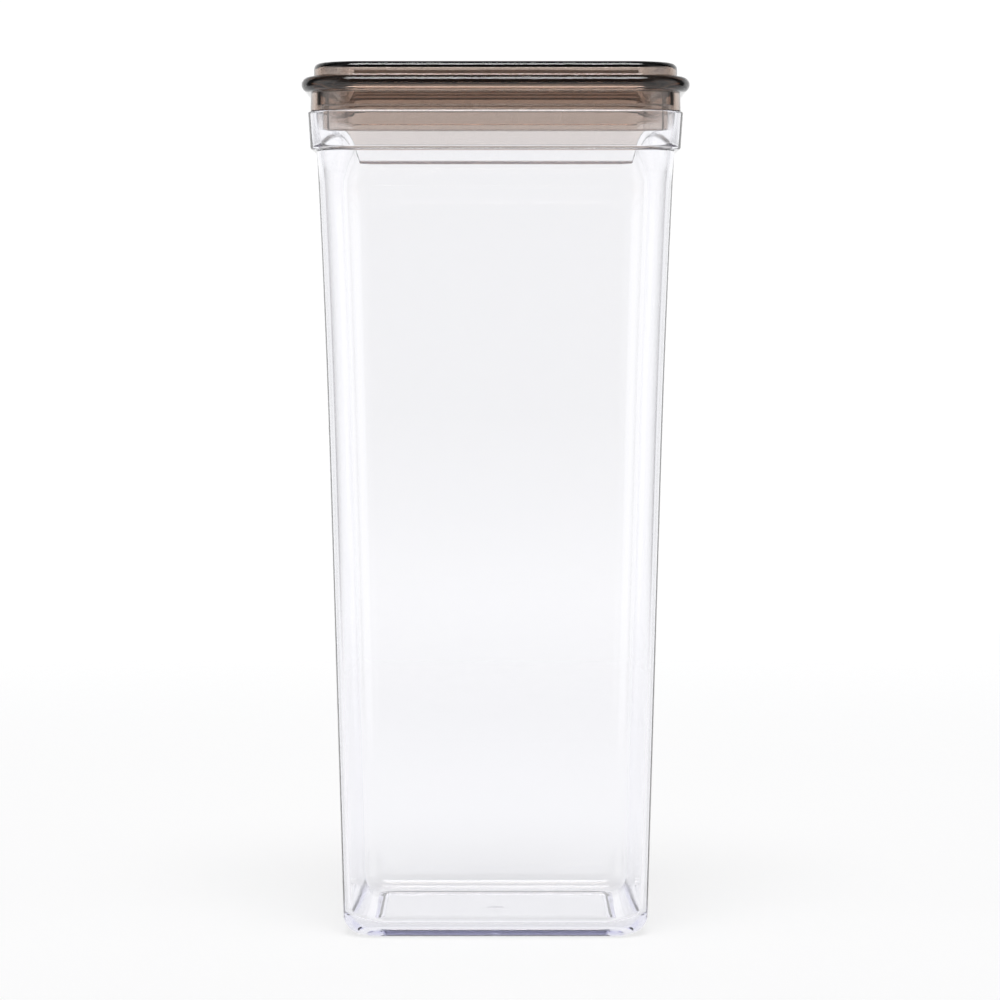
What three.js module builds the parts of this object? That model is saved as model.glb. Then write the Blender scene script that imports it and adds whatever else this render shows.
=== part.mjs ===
// A tall square canister of clear moulded plastic with a smoke-tinted lid.
//
// Three mouldings make the object. The canister body is a tapered square tub
// with a stepped collar round its mouth. The lid is a hollow cover with a
// half-round bead and a skirt, and an inner plug tray that is bonded up under
// the cover and hangs down inside the collar. The skirt stands on the rim.
//
// Millimetres, +Z up. The origin is the centre of the resting plane, and the
// walls face along X and Y.

import * as THREE from "three";

// ---------------------------------------------------------------- canister body

const rimHeight = 264.5; // resting plane to the top of the rim
const baseWidth = 98; // the wall's straight taper carried down to the resting plane
const waistWidth = 106.25; // across the walls where the flare starts
const waistHeight = 150; // height at which the flare starts
const shoulderWidth = 114.1; // across the walls just under the collar
const baseCornerRadius = 11.5;
const shoulderCornerRadius = 14;
const bodyWall = 2.15;
const floorThickness = 3.5; // resting plane to the top of the floor
const baseEdgeRadius = 6.5; // outside, wall to foot
const floorFillet = 4.5; // inside, wall to floor

const collarHeight = 12.05; // underside of the collar to the rim
const collarStep = 1.95; // how far the collar stands out from the shoulder
const collarFlare = 0.8; // how much further out it is at the rim
const collarWall = 2.8;
const collarCornerRadius = 15.3; // at the rim
const collarFootRadius = 0.9; // convex lower edge
const collarRootRadius = 0.6; // concave, collar to wall
const ledgeRise = 0.75; // inner ledge above the collar's underside
const rimRadius = 0.45; // both edges of the rim

const footRingWidth = 3.1; // flat that the canister stands on
const recessDepth = 1.2; // hollow inside the foot ring
const recessBevel = 3.3;
const recessCornerRadius = 2.5;
const gateDiameter = 5; // moulding gate in the middle of the recess
const gateDepth = 0.5;

// ------------------------------------------------------------------------- lid

const seatGap = 0.3; // the skirt's lower edge above the rim
const skirtSetback = 0.8; // the skirt's outside inside the rim's outside
const skirtHeight = 5.85; // skirt's lower edge to the bead's underside
const skirtFlare = 0.2; // moulding draft over the skirt
const lidWall = 1.9;
const beadThickness = 4.9;
const beadOverhang = 2.85; // the bead's nose beyond the skirt
const topRise = 4.45; // the lid's raised top above the bead
const topSetback = 0.95; // the raised top's side inside the skirt's top
const topEdgeRadius = 2;
const beadRootRadius = 0.5; // concave, raised top to bead
const lidEdgeRadius = 0.4; // skirt's lower edge and the hollow's upper corner

const bondGap = 0.3; // plug tray to cover, everywhere
const plugClearance = 1.1; // plug tray to the foot of the collar, each side
const plugDepth = 6.5; // the plug's lower edge below the rim
const plugWall = 2;
const plugDraft = 0.3; // the plug tray is this much slimmer at its lower edge
const trayThickness = 1.8;
const trayStepRise = 0.8; // the tray's middle above its seat ring
const seatRise = 1.7; // underside of the plug's thick seat ring above the rim
const trayFillet = 1.2;
const plugEdgeRadius = 0.7;

// -------------------------------------------------------------------- finishes

const clearPlastic = { color: 0xeef0f4, roughness: 0.05, metalness: 0 };
const smokePlastic = { color: 0x6b5a50, roughness: 0.06, metalness: 0 };

// ------------------------------------------------------------------- machinery

const cornerSteps = 6; // facets in each vertical corner
const filletSteps = 4; // facets in each rounded edge of a profile
const wallSteps = 5; // facets up the flare of the body

// One point of a profile: half the width across the flats, the height, and the
// radius of the vertical corners there. A corner as wide as the half width
// makes that ring a circle.
function at(half, z, corner) {
  return { half, z, corner };
}

// Points on an arc of a profile about a centre, with angles in degrees from the
// outward direction. Corners stay concentric, so they grow with the width.
function fillet(centreHalf, centreZ, radius, from, to, flat) {
  const points = [];
  for (let i = 0; i <= filletSteps; i += 1) {
    const angle = THREE.MathUtils.degToRad(from + ((to - from) * i) / filletSteps);
    const half = centreHalf + radius * Math.cos(angle);
    points.push(at(half, centreZ + radius * Math.sin(angle), half - flat));
  }
  return points;
}

// A lathe turned on a rounded square. The profile starts and ends on the axis.
// Each ring of the lathe takes its quarter turns as the four vertical corners,
// and the jumps between quarters as the four flat sides.
function squareLathe(profile) {
  const quarter = cornerSteps + 1;
  const outline = profile.map((p) => new THREE.Vector2(p.half, p.z));
  const geometry = new THREE.LatheGeometry(outline, 4 * quarter);
  const position = geometry.getAttribute("position");
  for (let i = 0; i <= 4 * quarter; i += 1) {
    const side = Math.floor(i / quarter) % 4;
    const turn = (side + (i % quarter) / cornerSteps) * (Math.PI / 2);
    const toCorner = (side + 0.5) * (Math.PI / 2);
    profile.forEach((p, j) => {
      const flat = p.half - p.corner;
      const x = flat * Math.sign(Math.cos(toCorner)) + p.corner * Math.cos(turn);
      const y = flat * Math.sign(Math.sin(toCorner)) + p.corner * Math.sin(turn);
      position.setXYZ(i * profile.length + j, x, y, p.z);
    });
  }
  geometry.deleteAttribute("normal");
  geometry.deleteAttribute("uv");
  geometry.computeVertexNormals();
  return geometry;
}

function moulding(name, profile, finish) {
  const mesh = new THREE.Mesh(squareLathe(profile), new THREE.MeshStandardMaterial(finish));
  mesh.name = name;
  return mesh;
}

// ------------------------------------------------------- sizes that follow others

const collarFootZ = rimHeight - collarHeight;
const ledgeZ = collarFootZ + ledgeRise;
const shoulderZ = collarFootZ - collarRootRadius;
const collarFootHalf = shoulderWidth / 2 + collarStep;
const rimHalf = collarFootHalf + collarFlare;
const collarFlat = rimHalf - collarCornerRadius; // half the flat side, kept through the lid

const skirtFootZ = rimHeight + seatGap;
const skirtFootHalf = rimHalf - skirtSetback;
const skirtTopHalf = skirtFootHalf - skirtFlare;
const beadBottomZ = skirtFootZ + skirtHeight;
const beadTopZ = beadBottomZ + beadThickness;
const beadRadius = beadThickness / 2;
const beadCentreHalf = skirtFootHalf + beadOverhang - beadRadius;
const topHalf = skirtTopHalf - topSetback;
const lidTopZ = beadTopZ + topRise;
const skirtInnerHalf = skirtFootHalf - lidWall;
const coverShoulderZ = beadBottomZ + beadRadius;

const plugHalf = collarFootHalf - collarWall - plugClearance;
const plugFootZ = rimHeight - plugDepth;
const seatZ = rimHeight + seatRise;

// Half the width across the body's walls at a height: a straight taper up to the
// waist, then a parabola that leaves the taper smoothly and meets the shoulder.
function bodyHalf(z) {
  const taper = (waistWidth - baseWidth) / 2 / waistHeight;
  const straight = baseWidth / 2 + taper * z;
  if (z <= waistHeight) return straight;
  const flare = shoulderWidth / 2 - (baseWidth / 2 + taper * shoulderZ);
  return straight + flare * ((z - waistHeight) / (shoulderZ - waistHeight)) ** 2;
}

// Half the flat part of the body's side at a height.
function bodyFlat(z) {
  const base = baseWidth / 2 - baseCornerRadius;
  const shoulder = shoulderWidth / 2 - shoulderCornerRadius;
  return base + ((shoulder - base) * z) / shoulderZ;
}

// A point on the body's wall, this far in from its outside.
function wallPoint(z, inset) {
  const half = bodyHalf(z) - inset;
  return at(half, z, half - bodyFlat(z));
}

function flarePoints(inset, from, to) {
  const points = [];
  for (let i = 0; i <= wallSteps; i += 1) {
    points.push(wallPoint(from + ((to - from) * i) / wallSteps, inset));
  }
  return points;
}

// ------------------------------------------------------------------- the pieces

// Clear tub: recessed floor with the gate mark, tapered walls, stepped collar.
function canisterBody() {
  const footHalf = bodyHalf(baseEdgeRadius) - baseEdgeRadius;
  const recessHalf = footHalf - footRingWidth;
  const panelHalf = recessHalf - recessBevel;
  const gateHalf = gateDiameter / 2;
  const floorHalf = bodyHalf(floorThickness + floorFillet) - bodyWall - floorFillet;
  const floorTop = floorThickness + floorFillet;
  const footFlat = bodyFlat(baseEdgeRadius);
  const shoulderHalf = shoulderWidth / 2;
  const collarInnerFoot = collarFootHalf - collarWall;
  const collarInnerRim = rimHalf - collarWall;

  return moulding(
    "canister_body",
    [
      at(0, recessDepth + gateDepth, 0),
      at(gateHalf, recessDepth + gateDepth, gateHalf),
      at(gateHalf, recessDepth, gateHalf),
      at(panelHalf, recessDepth, recessCornerRadius),
      at(recessHalf, 0, recessCornerRadius + recessBevel),
      ...fillet(footHalf, baseEdgeRadius, baseEdgeRadius, -90, 0, footFlat),
      ...flarePoints(0, waistHeight, shoulderZ),
      ...fillet(shoulderHalf + collarRootRadius, shoulderZ, collarRootRadius, 180, 90, collarFlat),
      ...fillet(
        collarFootHalf - collarFootRadius,
        collarFootZ + collarFootRadius,
        collarFootRadius,
        -90,
        0,
        collarFlat,
      ),
      ...fillet(rimHalf - rimRadius, rimHeight - rimRadius, rimRadius, 0, 90, collarFlat),
      ...fillet(collarInnerRim + rimRadius, rimHeight - rimRadius, rimRadius, 90, 180, collarFlat),
      at(collarInnerFoot, ledgeZ, collarInnerFoot - collarFlat),
      at(shoulderHalf - bodyWall, ledgeZ, shoulderHalf - bodyWall - bodyFlat(shoulderZ)),
      ...flarePoints(bodyWall, shoulderZ, waistHeight),
      ...fillet(floorHalf, floorTop, floorFillet, 0, -90, bodyFlat(floorTop)),
      at(0, floorThickness, 0),
    ],
    clearPlastic,
  );
}

// Tinted cover: raised hollow top, half-round bead and skirt, open underneath.
function lidCover() {
  const innerTopZ = lidTopZ - lidWall;
  const innerTopHalf = topHalf - lidWall;

  return moulding(
    "lid_cover",
    [
      at(0, innerTopZ, 0),
      ...fillet(
        innerTopHalf - lidEdgeRadius,
        innerTopZ - lidEdgeRadius,
        lidEdgeRadius,
        90,
        0,
        collarFlat,
      ),
      at(innerTopHalf, coverShoulderZ, innerTopHalf - collarFlat),
      at(skirtInnerHalf, coverShoulderZ, skirtInnerHalf - collarFlat),
      ...fillet(
        skirtInnerHalf + lidEdgeRadius,
        skirtFootZ + lidEdgeRadius,
        lidEdgeRadius,
        180,
        270,
        collarFlat,
      ),
      ...fillet(
        skirtFootHalf - lidEdgeRadius,
        skirtFootZ + lidEdgeRadius,
        lidEdgeRadius,
        -90,
        0,
        collarFlat,
      ),
      at(skirtTopHalf, beadBottomZ, skirtTopHalf - collarFlat),
      ...fillet(beadCentreHalf, beadBottomZ + beadRadius, beadRadius, -90, 0, collarFlat),
      ...fillet(beadCentreHalf, beadBottomZ + beadRadius, beadRadius, 0, 90, collarFlat).slice(1),
      ...fillet(topHalf + beadRootRadius, beadTopZ + beadRootRadius, beadRootRadius, 270, 180, collarFlat),
      ...fillet(topHalf - topEdgeRadius, lidTopZ - topEdgeRadius, topEdgeRadius, 0, 90, collarFlat),
      at(0, lidTopZ, 0),
    ],
    smokePlastic,
  );
}

// Tinted plug tray: a plate, a thick seat ring that is bonded up under the cover's
// shoulder, and a wall that reaches down inside the collar.
function lidPlug() {
  const seatTopZ = coverShoulderZ - bondGap;
  const seatHalf = skirtInnerHalf - bondGap;
  const trayTopZ = seatTopZ + trayStepRise;
  const trayHalf = topHalf - lidWall - bondGap;
  const trayBottomZ = trayTopZ - trayThickness;
  const plugTopHalf = plugHalf + plugDraft;
  const plugInnerHalf = plugHalf - plugWall;

  return moulding(
    "lid_plug",
    [
      at(0, trayBottomZ, 0),
      ...fillet(
        plugInnerHalf + plugDraft - trayFillet,
        trayBottomZ - trayFillet,
        trayFillet,
        90,
        0,
        collarFlat,
      ),
      ...fillet(
        plugInnerHalf + plugEdgeRadius,
        plugFootZ + plugEdgeRadius,
        plugEdgeRadius,
        180,
        270,
        collarFlat,
      ),
      ...fillet(plugHalf - plugEdgeRadius, plugFootZ + plugEdgeRadius, plugEdgeRadius, -90, 0, collarFlat),
      at(plugTopHalf, seatZ, plugTopHalf - collarFlat),
      at(seatHalf, seatZ, seatHalf - collarFlat),
      at(seatHalf, seatTopZ, seatHalf - collarFlat),
      at(trayHalf, seatTopZ, trayHalf - collarFlat),
      at(trayHalf, trayTopZ, trayHalf - collarFlat),
      at(0, trayTopZ, 0),
    ],
    smokePlastic,
  );
}

const lid = new THREE.Group();
lid.name = "lid";
lid.add(lidCover(), lidPlug());

const canister = new THREE.Group();
canister.name = "canister";
canister.add(canisterBody(), lid);

export default canister;
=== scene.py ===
"""A tall square canister of clear moulded plastic with a smoke-tinted lid.

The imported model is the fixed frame. Each of its three mouldings is made again here as a fine
surface: a profile with rounded edges, carried round a square with rounded corners.
"""

import logging
import math
from dataclasses import dataclass, field
from enum import Enum

import bpy
import numpy as np
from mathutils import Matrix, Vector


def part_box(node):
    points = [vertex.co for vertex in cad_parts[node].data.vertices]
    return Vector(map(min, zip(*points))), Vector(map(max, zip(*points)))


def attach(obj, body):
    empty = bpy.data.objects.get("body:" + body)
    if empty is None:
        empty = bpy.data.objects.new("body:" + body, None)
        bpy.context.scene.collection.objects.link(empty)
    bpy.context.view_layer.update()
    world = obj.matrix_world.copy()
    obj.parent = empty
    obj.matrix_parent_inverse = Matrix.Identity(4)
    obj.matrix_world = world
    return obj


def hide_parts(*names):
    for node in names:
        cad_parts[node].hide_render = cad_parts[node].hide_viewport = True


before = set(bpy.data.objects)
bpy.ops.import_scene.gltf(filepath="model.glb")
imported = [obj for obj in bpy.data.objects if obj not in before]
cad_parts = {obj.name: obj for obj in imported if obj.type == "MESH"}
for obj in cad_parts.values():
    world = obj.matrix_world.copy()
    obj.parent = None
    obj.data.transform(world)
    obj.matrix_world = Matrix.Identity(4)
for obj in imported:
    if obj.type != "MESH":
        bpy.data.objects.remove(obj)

MM = 0.001
COLOUR_SHARE = 0.3  # how far the strongest absorbed colour is taken down from white
log = logging.getLogger("canister")


# ------------------------------------------------------------------------------ profiles


@dataclass(frozen=True)
class Knot:
    """One corner of a profile, in millimetres.

    half is half the width across the flats, flat is half the straight part of the side, and
    their difference is the radius of the vertical corner. radius rounds the profile itself.
    """

    half: float
    z: float
    flat: float
    radius: float = 0.0


@dataclass(frozen=True)
class Profile:
    """A closed run of knots from the axis, round the outside of a section, back to the axis."""

    knots: tuple[Knot, ...]
    degrees_per_step: float = 7.5

    def samples(self) -> tuple[np.ndarray, np.ndarray]:
        """Rounds each knot by an arc that touches both of its straight sides.

        The arc starts radius / tan(half the opening angle) from the knot. Its points are the
        centre plus the radius turned evenly from one contact to the other, and its tangent
        turns evenly from one side to the other.

        Returns:
            points: rows of half width, height and flat.
            tangents: rows of unit half width and height along the profile.
        """
        corners = np.array([(k.half, k.z, k.flat) for k in self.knots])
        points, tangents = [corners[:1]], [np.array([[1.0, 0.0]])]
        for before, here, after, knot in zip(corners, corners[1:], corners[2:], self.knots[1:]):
            arc, along = self._round(before, here, after, knot.radius)
            points.append(arc)
            tangents.append(along)
        points.append(corners[-1:])
        tangents.append(np.array([[-1.0, 0.0]]))
        return np.vstack(points), np.vstack(tangents)

    def _round(
        self, before: np.ndarray, here: np.ndarray, after: np.ndarray, radius: float
    ) -> tuple[np.ndarray, np.ndarray]:
        """The points and tangents that stand for one knot.

        Args:
            before: the knot before it, as half width, height and flat.
            here: the knot to round.
            after: the knot after it.
            radius: the radius of the arc, or 0 to keep one point with the mean direction.

        Returns:
            The points and the tangents, as Profile.samples gives them.
        """
        back, ahead = before - here, after - here
        reach_back, reach_ahead = np.hypot(*back[:2]), np.hypot(*ahead[:2])
        into, out = -back[:2] / reach_back, ahead[:2] / reach_ahead
        turn = math.atan2(into[0] * out[1] - into[1] * out[0], float(into @ out))
        if radius <= 0:
            mean = (into + out) / np.hypot(*(into + out))
            return here[None, :], mean[None, :]
        contact = radius * abs(math.tan(turn / 2))
        steps = max(2, math.ceil(abs(math.degrees(turn)) / self.degrees_per_step))
        share = np.linspace(0.0, 1.0, steps + 1)
        side = math.copysign(1.0, turn)
        inward = side * np.array([-into[1], into[0]])
        centre = here[:2] - into * contact + inward * radius
        angle = turn * share
        cos, sin = np.cos(angle), np.sin(angle)
        spoke = np.stack([cos * -inward[0] - sin * -inward[1], sin * -inward[0] + cos * -inward[1]], 1)
        along = np.stack([cos * into[0] - sin * into[1], sin * into[0] + cos * into[1]], 1)
        first = here[2] + back[2] * contact / reach_back
        last = here[2] + ahead[2] * contact / reach_ahead
        flats = first + (last - first) * share
        return np.column_stack([centre + spoke * radius, flats]), along


@dataclass(frozen=True)
class SquareSweep:
    """Carries a profile round a square with rounded corners."""

    corner_steps: int = 24
    side_steps: int = 3

    def columns(self) -> tuple[np.ndarray, np.ndarray]:
        """The columns of the grid, anticlockwise from the first corner.

        A corner's columns turn through a quarter about the corner's own centre. A side's
        columns keep their direction while the centre slides on to the next corner.

        Returns:
            centres: rows of the corner centre's X and Y, in units of flat.
            outward: rows of the unit direction square to the outline.
        """
        turn = np.linspace(0.0, 1.0, self.corner_steps + 1)
        slide = np.linspace(0.0, 1.0, self.side_steps + 1)[1:-1]
        centres, outward = [], []
        for quarter in range(4):
            angle = (quarter + turn) * math.pi / 2
            middle = (quarter + 0.5) * math.pi / 2
            here = np.sign([math.cos(middle), math.sin(middle)])
            there = np.array([-here[1], here[0]])
            centres.append(np.tile(here, (len(turn), 1)))
            outward.append(np.column_stack([np.cos(angle), np.sin(angle)]))
            centres.append(here + (there - here) * slide[:, None])
            outward.append(np.tile(outward[-1][-1], (len(slide), 1)))
        return np.vstack(centres), np.vstack(outward)

    def mesh(self, name: str, profile: Profile) -> bpy.types.Mesh:
        """A closed mesh of the profile carried round the square, with exact normals.

        A point is the corner centre times flat, plus the outward direction times the corner
        radius. Its normal leans from the outward direction by the profile's slope, counting
        how fast the corner centre itself moves outwards along the profile.

        Args:
            name: the mesh's name.
            profile: the section, from the axis back to the axis.

        Returns:
            The mesh, in metres.
        """
        points, tangents = profile.samples()
        centres, outward = self.columns()
        half, z, flat = points.T
        length = np.concatenate([[0.0], np.cumsum(np.hypot(np.diff(half), np.diff(z)))])
        flat_rate = np.gradient(flat, length)
        corner = half - flat
        xy = flat[:, None, None] * centres + corner[:, None, None] * outward
        lift = np.broadcast_to(z[:, None, None], (*xy.shape[:2], 1))
        reach = (centres * outward).sum(1)
        growth = tangents[:, :1] + flat_rate[:, None] * (reach[None, :] - 1.0)
        normals = np.concatenate([outward * tangents[:, 1:, None], -growth[:, :, None]], 2)
        normals /= np.linalg.norm(normals, axis=2, keepdims=True)

        rows, cols = xy.shape[:2]
        vertices = np.concatenate([xy, lift], 2)[1:-1].reshape(-1, 3)
        poles = np.array([[0.0, 0.0, z[0]], [0.0, 0.0, z[-1]]])
        vertex_normals = np.vstack([normals[1:-1].reshape(-1, 3), [[0, 0, -1.0], [0, 0, 1.0]]])
        grid = np.arange((rows - 2) * cols).reshape(rows - 2, cols)
        beside = np.roll(grid, -1, axis=1)
        quads = np.stack([grid[:-1], beside[:-1], beside[1:], grid[1:]], 2).reshape(-1, 4)
        first, last = grid.size, grid.size + 1
        start = np.column_stack([np.full(cols, first), beside[0], grid[0]])
        end = np.column_stack([np.full(cols, last), grid[-1], beside[-1]])
        mesh = bpy.data.meshes.new(name)
        faces = [*quads.tolist(), *start.tolist(), *end.tolist()]
        mesh.from_pydata((np.vstack([vertices, poles]) * MM).tolist(), [], faces)
        mesh.polygons.foreach_set("use_smooth", np.ones(len(faces), bool))
        mesh.update()
        if self._points_in(mesh):
            raise ValueError(f"{name} points inwards")
        mesh.normals_split_custom_set_from_vertices(vertex_normals.tolist())
        return mesh

    @staticmethod
    def _points_in(mesh: bpy.types.Mesh) -> bool:
        """Whether the mesh's faces enclose a negative volume."""
        count = len(mesh.vertices)
        co = np.empty(count * 3, np.float32)
        mesh.vertices.foreach_get("co", co)
        mesh.calc_loop_triangles()
        tri = np.empty(len(mesh.loop_triangles) * 3, np.int32)
        mesh.loop_triangles.foreach_get("vertices", tri)
        a, b, c = co.reshape(-1, 3)[tri.reshape(-1, 3)].transpose(1, 0, 2)
        return float((a * np.cross(b, c)).sum()) < 0


# ------------------------------------------------------------------------------ finishes


def moulded_surface_group() -> bpy.types.ShaderNodeTree:
    """The slight unevenness of a moulded gloss surface, shared by both plastics.

    Returns:
        A group that takes Object coordinates and puts out Roughness and Height.
    """
    name = "moulded_surface"
    if name in bpy.data.node_groups:
        return bpy.data.node_groups[name]
    tree = bpy.data.node_groups.new(name, "ShaderNodeTree")
    tree.interface.new_socket("Vector", in_out="INPUT", socket_type="NodeSocketVector")
    for label, value in (("Smoothest", 0.0), ("Roughest", 0.03), ("Flow Scale", 28.0)):
        socket = tree.interface.new_socket(label, in_out="INPUT", socket_type="NodeSocketFloat")
        socket.default_value = value
    tree.interface.new_socket("Roughness", in_out="OUTPUT", socket_type="NodeSocketFloat")
    tree.interface.new_socket("Height", in_out="OUTPUT", socket_type="NodeSocketFloat")
    nodes, links = tree.nodes, tree.links
    given, put = nodes.new("NodeGroupInput"), nodes.new("NodeGroupOutput")
    haze = nodes.new("ShaderNodeTexNoise")
    haze.inputs["Scale"].default_value = 90.0
    haze.inputs["Detail"].default_value = 3.0
    spread = nodes.new("ShaderNodeMapRange")
    flow = nodes.new("ShaderNodeTexNoise")
    flow.inputs["Detail"].default_value = 1.0
    links.new(given.outputs["Vector"], haze.inputs["Vector"])
    links.new(haze.outputs["Fac"], spread.inputs["Value"])
    links.new(given.outputs["Smoothest"], spread.inputs["To Min"])
    links.new(given.outputs["Roughest"], spread.inputs["To Max"])
    links.new(spread.outputs["Result"], put.inputs["Roughness"])
    links.new(given.outputs["Vector"], flow.inputs["Vector"])
    links.new(given.outputs["Flow Scale"], flow.inputs["Scale"])
    links.new(flow.outputs["Fac"], put.inputs["Height"])
    return tree


@dataclass(frozen=True)
class MouldedPlastic:
    """A see-through gloss plastic: what it takes out of light, and how even its surface is."""

    name: str
    slot: str
    ior: float
    absorbs: tuple[float, float, float]  # of each colour, per metre
    smoothest: float = 0.0
    roughest: float = 0.02
    flow_scale: float = 28.0
    flow_height: float = 0.00002  # metres

    def material(self) -> bpy.types.Material:
        """Builds the material.

        Returns:
            Clear plastic that bends light, with its colour inside it.
        """
        mat = bpy.data.materials.new(self.name)
        mat.use_nodes = True
        nodes, links = mat.node_tree.nodes, mat.node_tree.links
        shader, output = nodes["Principled BSDF"], nodes["Material Output"]
        shader.inputs["Base Color"].default_value = (1.0, 1.0, 1.0, 1.0)
        shader.inputs["Transmission Weight"].default_value = 1.0
        shader.inputs["IOR"].default_value = self.ior
        place = nodes.new("ShaderNodeTexCoord")
        surface = nodes.new("ShaderNodeGroup")
        surface.node_tree = moulded_surface_group()
        surface.inputs["Smoothest"].default_value = self.smoothest
        surface.inputs["Roughest"].default_value = self.roughest
        surface.inputs["Flow Scale"].default_value = self.flow_scale
        bump = nodes.new("ShaderNodeBump")
        bump.inputs["Distance"].default_value = self.flow_height
        links.new(place.outputs["Object"], surface.inputs["Vector"])
        links.new(surface.outputs["Roughness"], shader.inputs["Roughness"])
        links.new(surface.outputs["Height"], bump.inputs["Height"])
        links.new(bump.outputs["Normal"], shader.inputs["Normal"])
        inside = nodes.new("ShaderNodeVolumeAbsorption")
        strongest = max(self.absorbs)
        colour = [1.0 - COLOUR_SHARE * a / strongest for a in self.absorbs]
        inside.inputs["Color"].default_value = (*colour, 1.0)
        inside.inputs["Density"].default_value = strongest / COLOUR_SHARE
        links.new(inside.outputs["Volume"], output.inputs["Volume"])
        return mat


class Finish(Enum):
    """The plastics of the object. The cover is the same smoke plastic as the plug tray, with its tint
    made denser as painted shade, so that the cover reads darker.
    """

    CLEAR = MouldedPlastic("clear_moulding", "clear_plastic", 1.57, (8.8, 8.8, 3.2))
    SMOKE = MouldedPlastic("smoke_moulding", "smoke_plastic", 1.57, (93.0, 125.0, 147.0))
    # painted shade: the plug tray's smoke plastic made denser, so that the cover reads darker
    DARK_SMOKE = MouldedPlastic("painted_shade_smoke_moulding", "smoke_plastic", 1.57, (145.0, 190.0, 222.0))


def add_piece(name: str, mesh: bpy.types.Mesh, finish: Finish, node: str, body: str) -> bpy.types.Object:
    """Puts a finished moulding in place of its plain solid.

    Args:
        name: the piece's name.
        mesh: its surface, in the frame's own place.
        finish: the plastic it is moulded in.
        node: the plain solid that it stands for.
        body: the body that it moves with.

    Returns:
        The new object.
    """
    piece = bpy.data.objects.new(name, mesh)
    bpy.context.scene.collection.objects.link(piece)
    material = bpy.data.materials.get(finish.value.name) or finish.value.material()
    mesh.materials.append(material)
    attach(piece, body)
    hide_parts(node)
    log.info("%s: %d faces, rides on %s", name, len(mesh.polygons), body)
    return piece


# ---------------------------------------------------------------------------- mouldings


@dataclass(frozen=True)
class CanisterBody:
    """The clear tub. Sizes are in millimetres, and its height and width follow the frame."""

    base_width: float = 98.0
    waist_width: float = 106.25
    waist_height: float = 150.0
    shoulder_width: float = 114.1
    base_corner: float = 11.5
    shoulder_corner: float = 14.0
    wall: float = 2.15
    floor: float = 3.5
    base_edge: float = 6.5
    floor_fillet: float = 4.5
    collar_height: float = 12.05
    collar_step: float = 1.95
    collar_wall: float = 2.8
    collar_corner: float = 15.3
    collar_foot_radius: float = 0.9
    collar_root_radius: float = 0.6
    ledge_rise: float = 0.75
    ledge_radius: float = 0.35
    rim_radius: float = 0.45
    foot_ring: float = 3.1
    recess: float = 1.2
    recess_bevel: float = 3.3
    recess_corner: float = 2.5
    gate_width: float = 5.0
    gate_depth: float = 0.5
    gate_flat: float = 0.05
    gate_edge: float = 0.2
    panel_edge: float = 0.3
    ring_edge: float = 0.4
    wall_steps: int = 24
    rim_half: float = field(default_factory=lambda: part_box("canister_body")[1].x / MM)
    rim_height: float = field(default_factory=lambda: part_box("canister_body")[1].z / MM)

    @property
    def shoulder_z(self) -> float:
        """Where the wall meets the root of the collar."""
        return self.rim_height - self.collar_height - self.collar_root_radius

    @property
    def collar_flat(self) -> float:
        """Half the straight side of the collar, which the lid shares."""
        return self.rim_half - self.collar_corner

    def half(self, z: float) -> float:
        """Half the width across the walls at a height: a straight taper, then a parabola."""
        taper = (self.waist_width - self.base_width) / 2 / self.waist_height
        straight = self.base_width / 2 + taper * z
        flare = self.shoulder_width / 2 - self.base_width / 2 - taper * self.shoulder_z
        share = max(0.0, (z - self.waist_height) / (self.shoulder_z - self.waist_height))
        return straight + flare * share**2

    def flat(self, z: float) -> float:
        """Half the straight side of the wall at a height."""
        base = self.base_width / 2 - self.base_corner
        shoulder = self.shoulder_width / 2 - self.shoulder_corner
        return base + (shoulder - base) * z / self.shoulder_z

    def wall_knots(self, inset: float, start: float, end: float) -> list[Knot]:
        """Knots up or down the curved wall.

        Args:
            inset: how far in from the outside.
            start: the first height.
            end: the last height.

        Returns:
            Evenly spaced knots, both ends left out.
        """
        heights = np.linspace(start, end, self.wall_steps + 2)[1:-1]
        return [Knot(self.half(z) - inset, z, self.flat(z)) for z in heights]

    def profile(self) -> Profile:
        """The section: underside, outside, collar, rim, inside, floor."""
        foot, ledge_z = self.half(0.0), self.rim_height - self.collar_height + self.ledge_rise
        ring = self.half(self.base_edge) - self.base_edge - self.foot_ring
        panel = ring - self.recess_bevel
        gate = self.gate_width / 2
        shoulder, root_z = self.shoulder_width / 2, self.rim_height - self.collar_height
        collar_foot = shoulder + self.collar_step
        inner = self.half(self.floor) - self.wall
        pit = self.recess + self.gate_depth
        knots = (
            Knot(0, pit, 0),
            Knot(gate, pit, self.gate_flat, self.gate_edge),
            Knot(gate, self.recess, self.gate_flat, self.gate_edge),
            Knot(panel, self.recess, panel - self.recess_corner, self.panel_edge),
            Knot(ring, 0, panel - self.recess_corner, self.ring_edge),
            Knot(foot, 0, self.flat(self.base_edge), self.base_edge),
            *self.wall_knots(0, self.base_edge, self.shoulder_z),
            Knot(shoulder, root_z, self.collar_flat, self.collar_root_radius),
            Knot(collar_foot, root_z, self.collar_flat, self.collar_foot_radius),
            Knot(self.rim_half, self.rim_height, self.collar_flat, self.rim_radius),
            Knot(self.rim_half - self.collar_wall, self.rim_height, self.collar_flat, self.rim_radius),
            Knot(collar_foot - self.collar_wall, ledge_z, self.collar_flat, self.ledge_radius),
            Knot(shoulder - self.wall, ledge_z, self.flat(self.shoulder_z), self.ledge_radius),
            *self.wall_knots(self.wall, self.shoulder_z, self.base_edge + self.floor),
            Knot(inner, self.floor, self.flat(self.floor), self.floor_fillet),
            Knot(0, self.floor, 0),
        )
        return Profile(knots)

    def build(self) -> bpy.types.Object:
        """Makes the clear body."""
        mesh = SquareSweep().mesh("clear_body", self.profile())
        return add_piece("clear_body", mesh, Finish.CLEAR, "canister_body", "canister")


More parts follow.
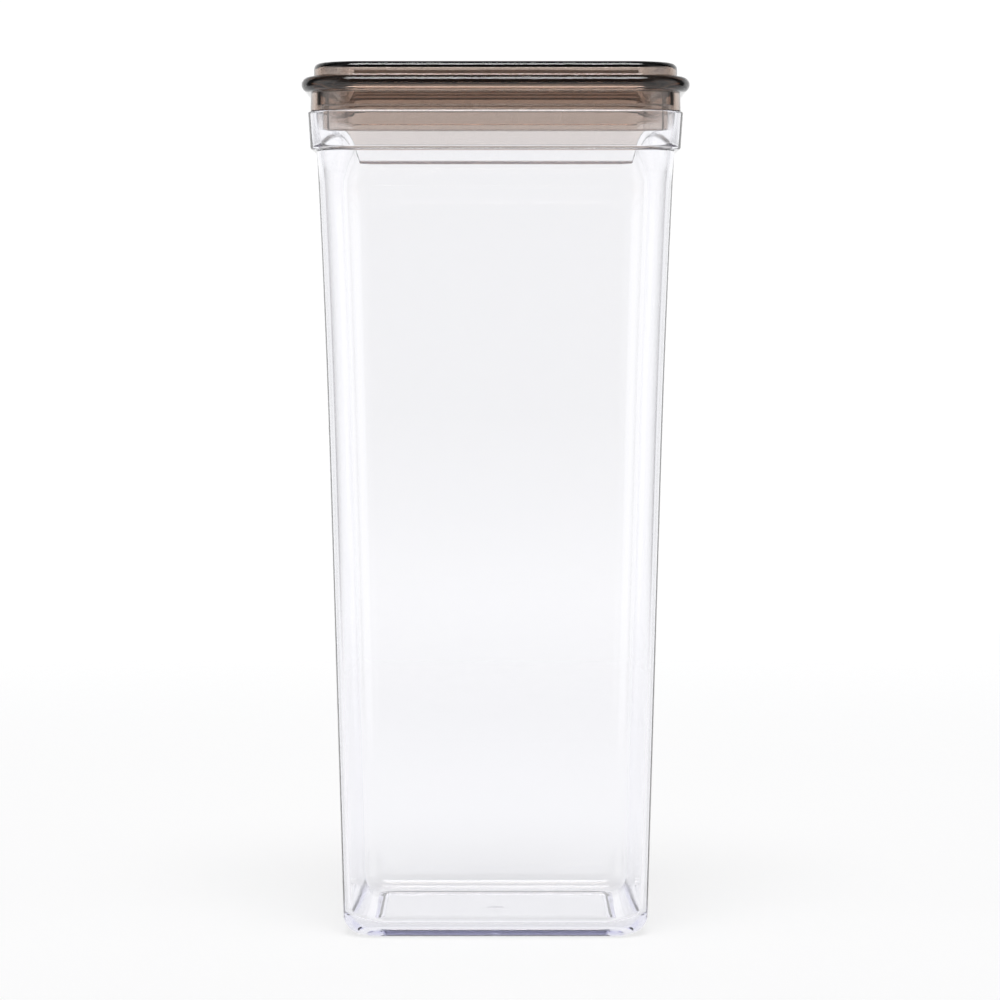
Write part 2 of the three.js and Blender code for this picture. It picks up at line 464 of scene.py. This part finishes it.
@dataclass(frozen=True)
class Lid:
    """The tinted cover and the plug tray inside it. Sizes are in millimetres."""

    body: CanisterBody
    seat_gap: float = 0.1
    skirt_setback: float = 0.8
    skirt_height: float = 5.85
    skirt_flare: float = 0.2
    wall: float = 1.9
    bead: float = 4.9
    bead_overhang: float = 2.85
    top_setback: float = 0.95
    top_edge: float = 2.0
    bead_root: float = 0.5
    small_edge: float = 0.35
    bond_gap: float = 0.08
    plug_clearance: float = 1.1
    plug_wall: float = 2.0
    plug_draft: float = 0.3
    tray: float = 1.8
    tray_step: float = 0.8
    seat_rise: float = 1.7
    tray_fillet: float = 1.2
    tray_edge: float = 0.2
    plug_edge: float = 0.7
    bead_land: float = 0.001  # straight part left at the bead's nose
    top_z: float = field(default_factory=lambda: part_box("lid_cover")[1].z / MM)
    foot_z: float = field(default_factory=lambda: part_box("lid_cover")[0].z / MM)
    plug_foot_z: float = field(default_factory=lambda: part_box("lid_plug")[0].z / MM)

    @property
    def skirt_foot(self) -> float:
        """Half the width of the skirt at its lower edge."""
        return self.body.rim_half - self.skirt_setback

    @property
    def top_half(self) -> float:
        """Half the width of the raised top."""
        return self.skirt_foot - self.skirt_flare - self.top_setback

    @property
    def shoulder_z(self) -> float:
        """The underside of the cover that the plug tray is bonded to."""
        return self.foot_z + self.skirt_height + self.bead / 2

    def cover_profile(self) -> Profile:
        """The cover's section: inside of the top, inner wall, skirt, bead, raised top."""
        flat, edge = self.body.collar_flat, self.small_edge
        foot_z = self.body.rim_height + self.seat_gap
        bead_z = self.foot_z + self.skirt_height
        inner_top, inner_skirt = self.top_half - self.wall, self.skirt_foot - self.wall
        nose = self.skirt_foot + self.bead_overhang
        round_bead = self.bead / 2 - self.bead_land
        knots = (
            Knot(0, self.top_z - self.wall, 0),
            Knot(inner_top, self.top_z - self.wall, flat, edge),
            Knot(inner_top, self.shoulder_z, flat, edge),
            Knot(inner_skirt, self.shoulder_z, flat, edge),
            Knot(inner_skirt, foot_z, flat, edge),
            Knot(self.skirt_foot, foot_z, flat, edge),
            Knot(self.skirt_foot - self.skirt_flare, bead_z, flat, edge),
            Knot(nose, bead_z, flat, round_bead),
            Knot(nose, bead_z + self.bead, flat, round_bead),
            Knot(self.top_half, bead_z + self.bead, flat, self.bead_root),
            Knot(self.top_half, self.top_z, flat, self.top_edge),
            Knot(0, self.top_z, 0),
        )
        return Profile(knots)

    def plug_profile(self) -> Profile:
        """The plug tray's section: underside, inside wall, lower edge, outside, seat ring, top."""
        flat, edge = self.body.collar_flat, self.small_edge
        seat_top = self.shoulder_z - self.bond_gap
        seat_half = self.skirt_foot - self.wall - self.bond_gap
        tray_half = self.top_half - self.wall - self.bond_gap
        tray_z = seat_top + self.tray_step
        collar_foot = self.body.shoulder_width / 2 + self.body.collar_step
        plug = collar_foot - self.body.collar_wall - self.plug_clearance
        inner = plug - self.plug_wall
        foot_z, seat_z = self.plug_foot_z, self.body.rim_height + self.seat_rise
        knots = (
            Knot(0, tray_z - self.tray, 0),
            Knot(inner + self.plug_draft, tray_z - self.tray, flat, self.tray_fillet),
            Knot(inner, foot_z, flat, self.plug_edge),
            Knot(plug, foot_z, flat, self.plug_edge),
            Knot(plug + self.plug_draft, seat_z, flat, edge),
            Knot(seat_half, seat_z, flat, edge),
            Knot(seat_half, seat_top, flat, edge),
            Knot(tray_half, seat_top, flat, self.tray_edge),
            Knot(tray_half, tray_z, flat, self.tray_edge),
            Knot(0, tray_z, 0),
        )
        return Profile(knots)

    def build(self) -> list[bpy.types.Object]:
        """Makes the cover and the plug tray."""
        sweep = SquareSweep()
        cover = sweep.mesh("smoke_cover", self.cover_profile())
        plug = sweep.mesh("smoke_plug", self.plug_profile())
        return [
            # the cover takes the denser smoke, a painted shade
            add_piece("smoke_cover", cover, Finish.DARK_SMOKE, "lid_cover", "lid"),
            add_piece("smoke_plug", plug, Finish.SMOKE, "lid_plug", "lid"),
        ]


# -------------------------------------------------------------------------------- studio


@dataclass(frozen=True)
class DomeLevel:
    """How bright the dome is in one direction round the object.

    degrees is counted from straight behind the object, the same to the left and the right.
    low is the level at the horizon and below it, high is the level above it.
    """

    degrees: float
    low: float
    high: float


@dataclass(frozen=True)
class Studio:
    """A pale floor that fades into a soft dome, with one soft light overhead.

    The dome is white behind the object, has a dark gap on each side and a soft light beside
    it, and is dimmer towards the camera and towards its crown. Part of the floor's brightness
    is its own glow, which keeps the shadow round the base pale. Levels are plain multiples of
    white, angles are in degrees, and lengths are in metres.
    """

    levels: tuple[DomeLevel, ...] = (
        DomeLevel(0, 1.04, 1.04),
        DomeLevel(50, 1.03, 1.03),
        DomeLevel(59, 0.08, 0.12),
        DomeLevel(75, 0.08, 0.12),
        DomeLevel(86, 0.8, 0.8),
        DomeLevel(96, 1.2, 1.2),
        DomeLevel(134, 1.2, 1.2),
        DomeLevel(146, 0.7, 0.4),
        DomeLevel(164, 0.8, 0.25),
        DomeLevel(172, 0.6, 0.1),
        DomeLevel(180, 0.6, 0.08),
    )
    rise_from: float = -0.005
    rise_to: float = 0.04
    crown_from: float = 0.16
    crown_to: float = 0.75
    crown: float = 0.18
    overhead: float = 8.0
    overhead_lean: float = -24.0
    overhead_full: float = 9.0
    overhead_reach: float = 21.0
    floor_radius: float = 2.5
    floor_fade_from: float = 0.5
    floor_fade_to: float = 1.6
    floor_level: float = 0.968
    floor_glow: float = 0.74
    floor_tint: tuple[float, float, float] = (1.0, 1.0, 1.004)
    floor_sides: int = 96
    floor_mottle: float = 1.01
    floor_mottle_scale: float = 12.0

    def build(self) -> None:
        """Makes the floor and the dome."""
        self._floor()
        self._dome()

    def _lean(self) -> tuple[float, float, float]:
        """The unit direction of the overhead light's middle; a lean below 0 is towards the camera."""
        lean = math.radians(self.overhead_lean)
        return 0.0, math.sin(lean), math.cos(lean)

    def light_on_floor(self) -> float:
        """What a white floor would send back, out in the open.

        The mean of the dome's level over the upper half, weighted by the sine of the height
        angle. Each strip of equal squared height counts the same.

        Returns:
            The mean level.
        """
        turn = (np.arange(180)[None, :] + 0.5) / 180 * math.pi
        z = np.sqrt((np.arange(400)[:, None] + 0.5) / 400)
        flat = np.sqrt(1.0 - z**2)
        degrees, low, high = np.array([(v.degrees, v.low, v.high) for v in self.levels]).T
        at = np.degrees(turn)
        rise = np.clip((z - self.rise_from) / (self.rise_to - self.rise_from), 0.0, 1.0)
        level = np.interp(at, degrees, low) * (1 - rise) + np.interp(at, degrees, high) * rise
        up = np.clip((z - self.crown_from) / (self.crown_to - self.crown_from), 0.0, 1.0)
        level = level * (1 - (1 - self.crown) * up**2 * (3 - 2 * up))
        _, lean_y, lean_z = self._lean()
        near = flat * np.cos(turn) * lean_y + z * lean_z
        edge, full = np.cos(np.radians([self.overhead_reach, self.overhead_full]))
        share = np.clip((near - edge) / (full - edge), 0.0, 1.0)
        level = level + self.overhead * share**2 * (3 - 2 * share)
        return float(level.mean())

    def _floor(self) -> None:
        """A round sheet with a very faint mottle that fades away towards its edge."""
        angle = np.linspace(0.0, 2 * math.pi, self.floor_sides + 1)[:-1]
        rim = np.column_stack([np.cos(angle), np.sin(angle), np.zeros(self.floor_sides)])
        mesh = bpy.data.meshes.new("floor")
        mesh.from_pydata((rim * self.floor_radius).tolist(), [], [list(range(self.floor_sides))])
        floor = bpy.data.objects.new("floor", mesh)
        bpy.context.scene.collection.objects.link(floor)
        mat = bpy.data.materials.new("pale_floor")
        mat.use_nodes = True
        nodes, links = mat.node_tree.nodes, mat.node_tree.links
        shader = nodes["Principled BSDF"]
        shader.inputs["Roughness"].default_value = 0.6
        shader.inputs["Specular IOR Level"].default_value = 0.0
        place, mottle = nodes.new("ShaderNodeTexCoord"), nodes.new("ShaderNodeTexNoise")
        mottle.inputs["Scale"].default_value = self.floor_mottle_scale
        tone = nodes.new("ShaderNodeMix")
        tone.data_type = "RGBA"
        white = (self.floor_level - self.floor_glow) / self.light_on_floor()
        log.info("floor colour %.3f", white)
        shader.inputs["Emission Color"].default_value = (*self.floor_tint, 1.0)
        shader.inputs["Emission Strength"].default_value = self.floor_glow
        mottled = white * self.floor_mottle
        tone.inputs["A"].default_value = (*[white * c for c in self.floor_tint], 1.0)
        tone.inputs["B"].default_value = (*[mottled * c for c in self.floor_tint], 1.0)
        reach, fade = nodes.new("ShaderNodeVectorMath"), nodes.new("ShaderNodeMapRange")
        reach.operation = "LENGTH"
        fade.interpolation_type = "SMOOTHSTEP"
        fade.inputs["From Min"].default_value = self.floor_fade_from
        fade.inputs["From Max"].default_value = self.floor_fade_to
        fade.inputs["To Min"].default_value = 1.0
        fade.inputs["To Max"].default_value = 0.0
        links.new(place.outputs["Object"], mottle.inputs["Vector"])
        links.new(mottle.outputs["Fac"], tone.inputs["Factor"])
        links.new(tone.outputs["Result"], shader.inputs["Base Color"])
        links.new(place.outputs["Object"], reach.inputs[0])
        links.new(reach.outputs["Value"], fade.inputs["Value"])
        links.new(fade.outputs["Result"], shader.inputs["Alpha"])
        mesh.materials.append(mat)

    def _dome(self) -> None:
        """The world's light: levels round the object, the rise above the horizon, and overhead."""
        world = bpy.data.worlds.new("studio_dome")
        bpy.context.scene.world = world
        world.use_nodes = True
        nodes, links = world.node_tree.nodes, world.node_tree.links
        back = nodes["Background"]
        place, parts = nodes.new("ShaderNodeTexCoord"), nodes.new("ShaderNodeSeparateXYZ")
        links.new(place.outputs["Generated"], parts.inputs["Vector"])

        aside = self._math(world, "ABSOLUTE", parts.outputs["X"])
        turn = self._math(world, "ARCTAN2", aside, parts.outputs["Y"])
        share = self._math(world, "DIVIDE", turn, math.pi)
        ramp, pair = nodes.new("ShaderNodeValToRGB"), nodes.new("ShaderNodeSeparateColor")
        most = max(max(v.low, v.high) for v in self.levels)
        stops = ramp.color_ramp.elements
        while len(stops) < len(self.levels):
            stops.new(0.5)
        for stop, level in zip(stops, self.levels):
            stop.position = level.degrees / 180.0
            stop.color = (level.low / most, level.high / most, 0.0, 1.0)
        links.new(share, ramp.inputs["Fac"])
        links.new(ramp.outputs["Color"], pair.inputs[0])

        rise, mix = nodes.new("ShaderNodeMapRange"), nodes.new("ShaderNodeMix")
        rise.inputs["From Min"].default_value = self.rise_from
        rise.inputs["From Max"].default_value = self.rise_to
        mix.data_type = "FLOAT"
        links.new(parts.outputs["Z"], rise.inputs["Value"])
        links.new(rise.outputs["Result"], mix.inputs["Factor"])
        links.new(pair.outputs["Red"], mix.inputs["A"])
        links.new(pair.outputs["Green"], mix.inputs["B"])
        level = self._math(world, "MULTIPLY", mix.outputs["Result"], most)
        crown = nodes.new("ShaderNodeMapRange")
        crown.interpolation_type = "SMOOTHSTEP"
        crown.inputs["From Min"].default_value = self.crown_from
        crown.inputs["From Max"].default_value = self.crown_to
        crown.inputs["To Min"].default_value = 1.0
        crown.inputs["To Max"].default_value = self.crown
        links.new(parts.outputs["Z"], crown.inputs["Value"])
        level = self._math(world, "MULTIPLY", level, crown.outputs["Result"])

        near, lamp = nodes.new("ShaderNodeVectorMath"), nodes.new("ShaderNodeMapRange")
        near.operation = "DOT_PRODUCT"
        near.inputs[1].default_value = self._lean()
        lamp.interpolation_type = "SMOOTHSTEP"
        lamp.inputs["From Min"].default_value = math.cos(math.radians(self.overhead_reach))
        lamp.inputs["From Max"].default_value = math.cos(math.radians(self.overhead_full))
        lamp.inputs["To Max"].default_value = self.overhead
        links.new(place.outputs["Generated"], near.inputs[0])
        links.new(near.outputs["Value"], lamp.inputs["Value"])
        total = self._math(world, "ADD", level, lamp.outputs["Result"])
        links.new(total, back.inputs["Strength"])
        back.inputs["Color"].default_value = (1.0, 1.0, 1.0, 1.0)

    @staticmethod
    def _math(
        world: bpy.types.World,
        operation: str,
        first: bpy.types.NodeSocket,
        second: bpy.types.NodeSocket | float | None = None,
    ) -> bpy.types.NodeSocket:
        """One sum in the world's nodes.

        Args:
            world: whose nodes.
            operation: the kind of sum.
            first: the first value.
            second: the second value, a socket or a number, where the sum has one.

        Returns:
            The socket of the answer.
        """
        node = world.node_tree.nodes.new("ShaderNodeMath")
        node.operation = operation
        world.node_tree.links.new(first, node.inputs[0])
        if isinstance(second, (int, float)):
            node.inputs[1].default_value = second
        elif second is not None:
            world.node_tree.links.new(second, node.inputs[1])
        return node.outputs[0]


@dataclass(frozen=True)
class Camera:
    """A long lens a little above the middle of the object, tipped slightly down."""

    distance: float = 1.324
    height: float = 0.1967
    pitch_degrees: float = 2.505
    lens: float = 144.0
    shift_x: float = 0.0044

    def build(self) -> bpy.types.Object:
        """Makes the camera and gives it to the scene."""
        data = bpy.data.cameras.new("camera")
        data.lens = self.lens
        data.sensor_width = 36.0
        data.shift_x = self.shift_x
        data.clip_start, data.clip_end = 0.05, 50.0
        camera = bpy.data.objects.new("camera", data)
        camera.location = (0.0, -self.distance, self.height)
        camera.rotation_euler = (math.radians(90.0 - self.pitch_degrees), 0.0, 0.0)
        bpy.context.scene.collection.objects.link(camera)
        bpy.context.scene.camera = camera
        return camera


def set_light_paths() -> None:
    """Lets light pass through both walls and the lid many times, and keeps whites white."""
    scene = bpy.context.scene
    scene.cycles.max_bounces = 32
    scene.cycles.transmission_bounces = 32
    scene.cycles.glossy_bounces = 16
    scene.view_settings.view_transform = "Standard"


def main() -> None:
    """Builds the object and its studio, and reports each piece."""
    logging.basicConfig(level=logging.INFO, format="%(name)s: %(message)s")
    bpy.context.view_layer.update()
    body = CanisterBody()
    body.build()
    Lid(body).build()
    Studio().build()
    Camera().build()
    set_light_paths()


if __name__ == "__main__":
    main()
